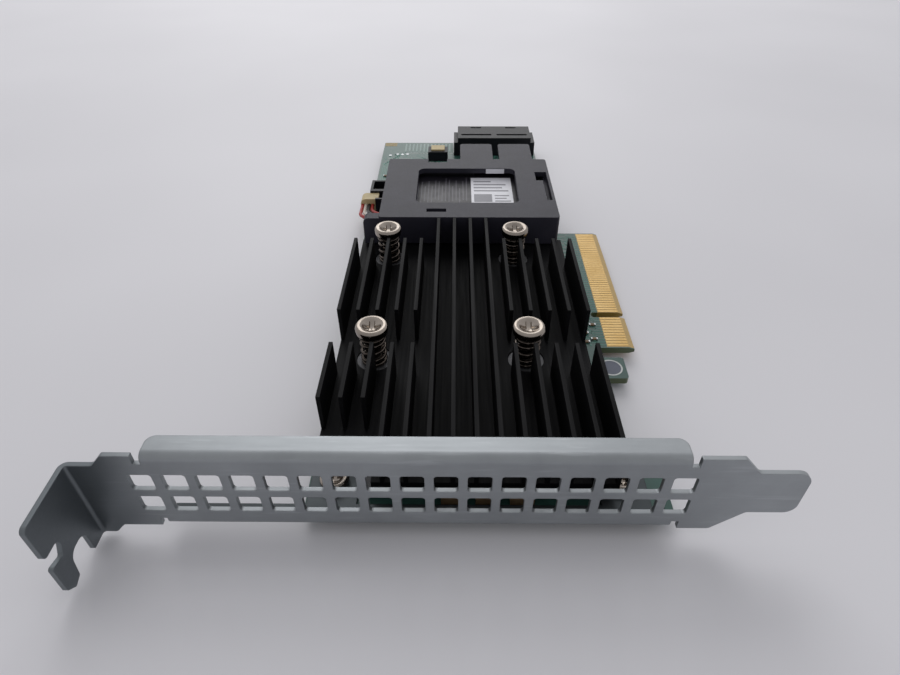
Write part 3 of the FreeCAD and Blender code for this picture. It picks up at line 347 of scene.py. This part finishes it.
def prism(work, corners, low, high):
    """A closed prism over corners given anticlockwise from above."""
    floor = [work.verts.new((x, y, low)) for x, y in corners]
    roof = [work.verts.new((x, y, high)) for x, y in corners]
    work.faces.new(list(reversed(floor)))
    work.faces.new(roof)
    for number in range(len(corners)):
        after = (number + 1) % len(corners)
        work.faces.new((floor[number], floor[after], roof[after], roof[number]))


def slab(work, left, front, right, rear, low, high):
    """A thin box."""
    prism(work, [(left, front), (right, front), (right, rear), (left, rear)], low, high)


def disc(work, x, y, radius, low, high, sides=20):
    """A short round prism."""
    prism(work, [(x + radius * math.cos(turn), y + radius * math.sin(turn))
                 for turn in (math.tau * number / sides for number in range(sides))], low, high)


def ring(work, x, y, inner, outer, low, high, sides=40):
    """A flat ring with a rectangular section."""
    section = (inner, low), (outer, low), (outer, high), (inner, high)
    loops = [circle(work, x, y, radius, level, sides) for radius, level in section]
    for number, loop in enumerate(loops):
        other = loops[(number + 1) % len(loops)]
        for step in range(sides):
            after = (step + 1) % sides
            work.faces.new((loop[step], loop[after], other[after], other[step]))


def path(work, points, width, low, high):
    """A flat track through points, each run a slab with square ends and round joints."""
    for start, end in zip(points, points[1:]):
        along = (Vector(end) - Vector(start)).normalized()
        side = Vector((-along.y, along.x)) * width / 2
        corners = [Vector(start) - side, Vector(end) - side, Vector(end) + side, Vector(start) + side]
        prism(work, [tuple(corner) for corner in corners], low, high)
    for x, y in points[1:-1]:
        disc(work, x, y, width / 2, low, high, 8)


def span(node):
    """A node's low and high corners in millimetres."""
    low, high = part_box(node)
    return low / MM, high / MM


def join_loops(work, loops):
    """Faces between neighbouring loops, where a loop of one point is a pole."""
    for low, high in zip(loops, loops[1:]):
        count = max(len(low), len(high))
        for step in range(count):
            after = (step + 1) % count
            corners = [low[step % len(low)], low[after % len(low)],
                       high[after % len(high)], high[step % len(high)]]
            work.faces.new(list(dict.fromkeys(corners)))


def ease(value):
    """A smooth step from 0 to 1."""
    value = min(1.0, max(0.0, value))
    return value * value * (3 - 2 * value)


# Screws, in millimetres or as shares of the head's radius
HEAD_SIDES = 96
DISH_RINGS = 31
RIM_SHARE, WING_SHARE, REACH_SHARE, BOWL_SHARE = 0.8, 0.16, 0.6, 0.55
WING_DEPTH, WING_FALL, DISH_DEPTH, TOP_GAP = 0.8, 0.5, 0.78, 0.02
WING_SIDE_BLEND, WING_END_BLEND = 0.22, 0.5
RIM_STEPS, RIM_ROUND = 8, 0.85
THREAD_SHARE, THREAD_DEPTH, THREAD_PITCH = 0.66, 0.16, 0.4
THREAD_END_GAP, THREAD_POINT = 0.5, 0.3
SINK_SEAT, SINK_SHANK = 12.0, 1.75
EAR_SEAT, EAR_SHANK = 0.86, 1.45
SPOT_INNER, SPOT_OUTER, SPOT_LOW, SPOT_HIGH = 2.1, 3.85, 4.7, 4.73


def wing_share(first, second, half, reach):
    """How far a point lies inside one arm of the cross recess, from 0 to 1."""
    return (ease((half - abs(first)) / WING_SIDE_BLEND + 0.5)
            * ease((reach - abs(second)) / WING_END_BLEND))


def screw_head(work, x, y, seat, top, radius, shank, foot):
    """A rimmed cross-recess head on its shank, down to the foot of the thread."""
    sides, loops = HEAD_SIDES, []
    rim = radius * RIM_SHARE
    half, reach = radius * WING_SHARE, radius * REACH_SHARE
    for number in range(DISH_RINGS + 1):
        out = rim * number / DISH_RINGS
        loop = []
        for step in range(sides if number else 1):
            turn = math.tau * step / sides
            across, up = out * math.cos(turn), out * math.sin(turn)
            wing = max(wing_share(up, across, half, reach), wing_share(across, up, half, reach))
            sink = wing * WING_DEPTH * (1 - WING_FALL * out / reach)
            dish = DISH_DEPTH * ease((rim - out) / (radius * BOWL_SHARE))
            loop.append(work.verts.new((x + across, y + up, top - TOP_GAP - dish - sink)))
        loops.append(loop)
    for number in range(RIM_STEPS + 1):
        turn = math.pi / 2 * number / RIM_STEPS
        loops.append(circle(work, x, y, rim + (radius - rim) * math.sin(turn),
                            top - RIM_ROUND + RIM_ROUND * math.cos(turn), sides))
    under = [(radius * 0.985, seat + 0.9), (radius * 0.95, seat + 0.5), (radius * 0.88, seat + 0.2),
             (radius * 0.78, seat), (shank, seat), (shank, 0.1), (shank - 0.1, 0.0)]
    for out, level in under:
        loops.append(circle(work, x, y, out, level, sides))
    thread = shank * THREAD_SHARE
    root = thread - THREAD_DEPTH
    level = 0.0
    while level > foot + THREAD_END_GAP:
        for out, drop in ((root, 0.0), (thread, 0.12), (thread, 0.2), (root, 0.32)):
            loops.append(circle(work, x, y, out, level - drop - 0.02, sides))
        level -= THREAD_PITCH
    loops.append(circle(work, x, y, thread - THREAD_POINT, foot, sides))
    loops.append([work.verts.new((x, y, foot))])
    join_loops(work, loops)
    bmesh.ops.recalc_face_normals(work, faces=work.faces)


def smooth(thing, angle=40):
    """Shades a piece smoothly across edges flatter than this many degrees."""
    for face in thing.data.polygons:
        face.use_smooth = True
    thing.data.set_sharp_from_angle(angle=math.radians(angle))


# Springs, in millimetres; the CAD node has four turns
WIRE_RADIUS = 0.36
COIL_TURNS, COIL_STEPS, CLOSED_TURNS = 5.6, 28, 0.9
COIL_EASE, COIL_END_GAP = 0.4, 0.05


def coil(name, node):
    """A round-wire spring with closed, flattened ends, in the place of its CAD node."""
    low, high = span(node)
    wire = WIRE_RADIUS
    mean = (high.x - low.x) / 2 - wire
    x, y = (low.x + high.x) / 2, (low.y + high.y) / 2
    floor, roof = low.z + wire, high.z - wire
    count = int(COIL_TURNS * COIL_STEPS)
    curve = bpy.data.curves.new(name, "CURVE")
    curve.dimensions = "3D"
    curve.bevel_depth = wire * MM
    curve.bevel_resolution = 3
    curve.use_fill_caps = True
    line = curve.splines.new("POLY")
    line.points.add(count)
    closed = CLOSED_TURNS / COIL_TURNS
    for number, point in enumerate(line.points):
        share = number / count
        climb = (share - closed) / (1 - 2 * closed)
        rise = ease(climb) * COIL_EASE + (1 - COIL_EASE) * min(1.0, max(0.0, climb))
        turn = math.tau * COIL_TURNS * share
        level = floor + COIL_END_GAP + (roof - floor - 2 * COIL_END_GAP) * rise
        point.co = ((x + mean * math.cos(turn)) * MM, (y + mean * math.sin(turn)) * MM, level * MM, 1)
    curve.materials.append(SHADED_SPRING.material)
    thing = bpy.data.objects.new(name, curve)
    bpy.context.scene.collection.objects.link(thing)
    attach(thing, "root")
    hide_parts(node)


def middle(node):
    """The X and Y of a node's middle, in millimetres."""
    low, high = span(node)
    return (low.x + high.x) / 2, (low.y + high.y) / 2


def screw(name, node, seat, shank):
    """A detailed screw in the place of its CAD node."""
    low, high = span(node)
    radius = (high.x - low.x) / 2
    smooth(piece(name, lambda work: screw_head(
        work, *middle(node), seat, high.z, radius, shank, low.z),
        FINISHES["nickel"], node))


def make_screws():
    """The spring screws, their coils and spot faces, and the bracket's screws."""
    for number in range(1, 5):
        screw(f"spring_screw_{number}", f"sink_screw_{number}", SINK_SEAT, SINK_SHANK)
        coil(f"coil_spring_{number}", f"sink_spring_{number}")

    def spot_faces(work):
        for number in range(1, 5):
            ring(work, *middle(f"sink_screw_{number}"), SPOT_INNER, SPOT_OUTER, SPOT_LOW, SPOT_HIGH)
    piece("spot_faces", spot_faces, SPOT)
    for side in ("left", "right"):
        screw(f"ear_screw_{side}", f"bracket_screw_{side}", EAR_SEAT, EAR_SHANK)


# The board's faces and what is printed on them, in millimetres
TOP, UNDER = 0.0, -1.57
TRACK_RISE, TRACK_WIDTH, FAN_WIDTH = 0.03, 0.2, 0.22
VIA_RISE, VIA_SIDES = 0.05, 10
CONTACTS = range(-12, 38)
NOTCH_HALF, TONGUE_START, MASK_START = 1.4, -11.6, -6.3
BUNDLES, LANE_PITCH, LANE_DRIFT, LANE_TURN = 16, 0.55, 0.4, 3.0
INK_RISE, INK_WIDTH = 0.03, 0.12


def make_board_print():
    """Tracks, pads, vias and ink on both faces of the board."""
    pick = random.Random(7)

    def contact_places():
        """Each contact's number and its Y, leaving out the key notch and the tongue's end."""
        for number in CONTACTS:
            y = number + 0.5
            if abs(y) >= NOTCH_HALF and y >= TONGUE_START:
                yield number, y

    def top_tracks(work):
        low, high = TOP, TOP + TRACK_RISE
        for number, y in contact_places():
            turn = 8.0 + 0.5 * (number % 3)
            drift = 1.2 if number % 2 else 0.7
            path(work, [(MASK_START, y), (-turn, y), (-turn - drift, y + drift), (-12.7, y + drift)],
                 FAN_WIDTH, low, high)
        for number in range(9):
            x = -67.8 + number * 0.62
            path(work, [(x, 63.0 + number), (x, 88 + number), (x + 2.5, 90.5 + number)],
                 TRACK_WIDTH, low, high)
        for number in range(12):
            x = -40.9 + number * 1.9
            jog = number % 3
            path(work, [(x, 76.2), (x, 85.0 + jog), (x + 1.6, 86.6 + jog), (x + 1.6, 94.6)],
                 TRACK_WIDTH, low, high)
        for number in range(7):
            y = 63.5 + number * 0.8
            path(work, [(-42.0, y + 24), (-47.0 - number, y + 24), (-50.0 - number, y + 27)],
                 TRACK_WIDTH, low, high)
    piece("top_tracks", top_tracks, TRACK)

    def under_tracks(work):
        low, high = UNDER - TRACK_RISE, UNDER
        for number, y in contact_places():
            turn = 8.5 + 0.45 * (number % 4)
            path(work, [(MASK_START, y), (-turn, y), (-turn - 1.2, y - 1.2), (-11.5, y - 1.2)],
                 FAN_WIDTH, low, high)
        for bundle in range(BUNDLES):
            x, y = pick.uniform(-64, -22), pick.uniform(-52, 96)
            length, turn = pick.uniform(8, 20), pick.choice((-1, 1))
            for lane in range(pick.randint(3, 7)):
                start = x + lane * LANE_PITCH
                bend = y + length - turn * lane * LANE_PITCH * LANE_DRIFT
                points = [(start, y), (start, bend), (start + turn * LANE_TURN, bend + LANE_TURN)]
                if -68 < points[-1][0] < -14 and points[-1][1] < 106:
                    path(work, points, TRACK_WIDTH, low, high)
    piece("under_tracks", under_tracks, TRACK)

    def vias(work):
        for number in range(230):
            x, y = pick.uniform(-67.5, -14.5), pick.uniform(-55, 105)
            disc(work, x, y, 0.32, UNDER - VIA_RISE, UNDER, VIA_SIDES)
        for count, (left, right), (front, rear), radius in (
                (70, (-68, -42), (63, 97), 0.3), (46, (-42, -15), (75, 95), 0.3),
                (60, (-12.4, -9.0), (-12, 38), 0.28)):
            for number in range(count):
                disc(work, pick.uniform(left, right), pick.uniform(front, rear), radius,
                     TOP, TOP + VIA_RISE, VIA_SIDES)
    piece("vias", vias, TRACK)

    def pads(work):
        for x, y in [(-63.4, 96.6), (-61.6, 96.4), (-66.0, 95.6), (-59.8, 96.6)]:
            disc(work, x, y, 0.55, TOP, TOP + VIA_RISE, 16)
        for side in (-1, 1):
            for number in range(14):
                x = -28.05 + side * 6.45 - 4.9 + number * 0.75
                disc(work, x, 99.4 + (number % 2) * 1.8, 0.3, UNDER - 0.5, UNDER, 12)
        for number in range(6):
            disc(work, -66.6 + (number % 2) * 2.0, 53.2 + number * 1.9, 0.45, UNDER - 0.6, UNDER, 12)
    piece("pads", pads, SOLDER)

    def comb(work):
        for number in range(13):
            x = -60.9 + number * 1.36
            slab(work, x, 98.9, x + 0.6, 106.0, TOP, TOP + 0.04)
    piece("comb_pads", comb, COMB)

    def ink(work):
        ring(work, -6.9, -19.4, 2.25, 2.6, TOP, TOP + INK_RISE, 48)
        for line in ((-66.9, 92.8, -57.6, 93.0), (-42.9, 97.9, -42.7, 106.8),
                     (-61.8, 97.4, -43.0, 97.6), (-51.9, 89.6, -44.9, 89.8)):
            slab(work, *line, TOP, TOP + INK_RISE)
        for x, y in ((-58.2, -52.2), (-50.8, -52.2), (-30.0, -15.0), (-56.0, 30.0), (-40.0, 60.0)):
            ring(work, x, y, 1.5, 1.7, UNDER - INK_RISE, UNDER, 32)
        for number in range(26):
            x, y = pick.uniform(-64, -20), pick.uniform(-50, 100)
            width, depth = pick.choice(((2.6, 1.6), (1.6, 2.6), (4.2, 3.0)))
            right, rear, line = x + width, y + depth, INK_WIDTH
            for edge in ((x, y, right, y + line), (x, rear, right, rear + line),
                         (x, y, x + line, rear), (right, y, right + line, rear)):
                slab(work, *edge, UNDER - INK_RISE, UNDER)
    piece("board_ink", ink, INK)
    piece("lobe_pad", lambda work: disc(work, -6.9, -19.4, 2.2, TOP, TOP + 0.02, 48), SLATE)
    piece("corner_patch", lambda work: slab(work, -68.7, 103.9, -64.2, 106.95,
                                            TOP, TOP + INK_RISE),
          TAN)


NUT_CLEAR, BODY_HEIGHT, END_HEIGHT, END_PLACE = 4.2, 0.45, 0.47, 0.63


def make_small_parts():
    """Surface-mount resistors and capacitors with their soldered ends."""
    pick = random.Random(11)
    top_places = [(-10.6, -2.9), (-10.6, -4.6), (-8.6, -4.2), (-10.8, -7.4), (-9.0, -9.6),
                  (-11.0, -10.6), (-66.5, 66.0), (-66.5, 68.4), (-66.2, 78.0)]
    top_places += [(-40.0 + column * 3.1, 78.4 + row * 3.4) for column in range(8) for row in range(5)
                   if (column * 3 + row * 5) % 4]
    top_places += [(-64.4, 80.0 + row * 2.6) for row in range(5)]
    under_places = [(pick.uniform(-64, -20), pick.uniform(-48, 98)) for number in range(64)]
    nuts = [(-59.36, -22.3), (-26.66, -22.3), (-59.36, 18.0), (-26.66, 18.0),
            (-63.96, -51.8), (-11.36, -51.8)]
    under_places = [(x, y) for x, y in under_places
                    if all(math.hypot(x - u, y - v) > NUT_CLEAR for u, v in nuts)
                    and not (-53 < x < -33 and -24 < y < -1)]

    def bodies(work):
        for places, low, high in ((top_places, TOP, TOP + BODY_HEIGHT),
                                  (under_places, UNDER - BODY_HEIGHT, UNDER)):
            for x, y in places:
                slab(work, x - 0.5, y - 0.3, x + 0.5, y + 0.3, low, high)

    def ends(work):
        for places, low, high in ((top_places, TOP, TOP + END_HEIGHT),
                                  (under_places, UNDER - END_HEIGHT, UNDER)):
            for x, y in places:
                for side in (-1, 1):
                    end = x + side * END_PLACE
                    slab(work, end - 0.16, y - 0.32, end + 0.16, y + 0.32, low, high)
    piece("chip_bodies", bodies, FINISHES["capacitor"])
    piece("chip_ends", ends, SOLDER)


LABEL_THICK, BAR_THICK = 0.08, 0.02


def make_label():
    """The plain label and bars on the battery, with a foil tab that is a guess, and a black block.

    The black block keeps light out of the gap behind the battery and stands in for the shade there:
    painted shade.
    """
    top = span("battery_pack")[1].z
    film = top + LABEL_THICK
    ink = film + BAR_THICK

    def label(work):
        slab(work, -37.4, 37.7, -25.3, 54.6, top, film)

    def bars(work):
        slab(work, -36.6, 39.0, -31.4, 43.8, film, ink)
        for number, length in enumerate((4.6, 3.4, 4.2)):
            front = 39.2 + number * 1.7
            slab(work, -30.6, front, -30.6 + length, front + 0.7, film, ink)
        for number, length in enumerate((10.2, 8.4, 9.6, 5.2)):
            front = 45.6 + number * 2.0
            slab(work, -36.6, front, -36.6 + length, front + 0.8, film, ink)

    def print_bars(work):
        pick = random.Random(3)
        for number in range(15):
            x = -53.2 + number * 1.02
            front = 37.6 + pick.uniform(0, 3)
            slab(work, x, front, x + 0.3, front + pick.uniform(9, 16), top, top + 0.02)
    piece("battery_label", label, LABEL)
    piece("label_bars", bars, BAR)
    piece("wrap_print", print_bars, PRINT)
    # Painted shade: a black block in the gap behind the battery.
    piece("pack_shade_block", lambda work: slab(work, -57.6, 56.6, -36.0, 58.1, top, 12.1),
          FINISHES["black_plastic"])
    piece("foil_tab", lambda work: slab(work, -32.8, 54.6, -27.3, 54.82, 12.0, 13.35), LABEL)


make_screws()
make_board_print()
make_small_parts()
make_label()


# ---------------------------------------------------------------- stage

FLOOR_HALF, FLOOR_GAP = 3.0, 0.0001
SKY_FROM, SKY_TO = (-0.6, 0.9), (0.51, 0.7)
SKY_TINT = (0.975, 0.975, 1.0, 1)
LAMP_PLACE, LAMP_AIM, LAMP_SIZE, LAMP_WATTS = (-0.15, 0.85, 0.6), (-0.04, 0.1, 0.0), 0.8, 3.6


def make_floor():
    """A pale floor just under the card."""
    low, half = cad_box[0][2] - FLOOR_GAP, FLOOR_HALF
    mesh = bpy.data.meshes.new("floor")
    corners = [(-half, -half, low), (half, -half, low), (half, half, low), (-half, half, low)]
    mesh.from_pydata(corners, [], [(0, 1, 2, 3)])
    floor = bpy.data.objects.new("floor", mesh)
    bpy.context.scene.collection.objects.link(floor)
    finish = Finish("floor", Roughness=0.55)
    tone = finish.noise(120, 2)
    finish.colour(finish.ramp(tone, (0.3, srgb("dcdbdf")), (0.7, srgb("e2e1e5"))))
    mesh.materials.append(finish.material)


def make_light():
    """A sky that brightens towards the rear, and one soft lamp there."""
    world = bpy.data.worlds.new("studio")
    world.use_nodes = True
    nodes, links = world.node_tree.nodes, world.node_tree.links
    coords = nodes.new("ShaderNodeTexCoord")
    parts = nodes.new("ShaderNodeSeparateXYZ")
    links.new(coords.outputs["Generated"], parts.inputs["Vector"])
    ramp = nodes.new("ShaderNodeMapRange")
    ramp.interpolation_type = "SMOOTHSTEP"
    links.new(parts.outputs["Y"], ramp.inputs["Value"])
    for end, value, result in zip(("Min", "Max"), SKY_FROM, SKY_TO):
        ramp.inputs[f"From {end}"].default_value = value
        ramp.inputs[f"To {end}"].default_value = result
    links.new(ramp.outputs["Result"], nodes["Background"].inputs["Strength"])
    nodes["Background"].inputs["Color"].default_value = SKY_TINT
    bpy.context.scene.world = world
    light = bpy.data.lights.new("window", "AREA")
    light.size = LAMP_SIZE
    light.energy = LAMP_WATTS
    lamp = bpy.data.objects.new("window", light)
    lamp.location = LAMP_PLACE
    towards = Vector(LAMP_AIM) - Vector(LAMP_PLACE)
    lamp.rotation_euler = towards.to_track_quat("-Z", "Y").to_euler()
    bpy.context.scene.collection.objects.link(lamp)


# The undistorted camera nearest to the one solved from the photo with lens distortion:
# focal length and width in photo pixels, degrees, metres
FOCAL_PIXELS, PHOTO_WIDTH, SENSOR = 618.644, 900, 36
CAMERA_TURN = 50.195, 0.1219, 0.4001
CAMERA_PLACE = -0.042078, -0.122218, 0.094285


def make_camera():
    """The photo's camera."""
    data = bpy.data.cameras.new("camera")
    data.sensor_width = SENSOR
    data.lens = SENSOR * FOCAL_PIXELS / PHOTO_WIDTH
    data.clip_start = 0.005
    camera = bpy.data.objects.new("camera", data)
    camera.rotation_mode = "YXZ"
    camera.rotation_euler = [math.radians(angle) for angle in CAMERA_TURN]
    camera.location = CAMERA_PLACE
    bpy.context.scene.collection.objects.link(camera)
    bpy.context.scene.camera = camera


make_floor()
make_light()
make_camera()
bpy.context.scene.view_settings.view_transform = "Standard"
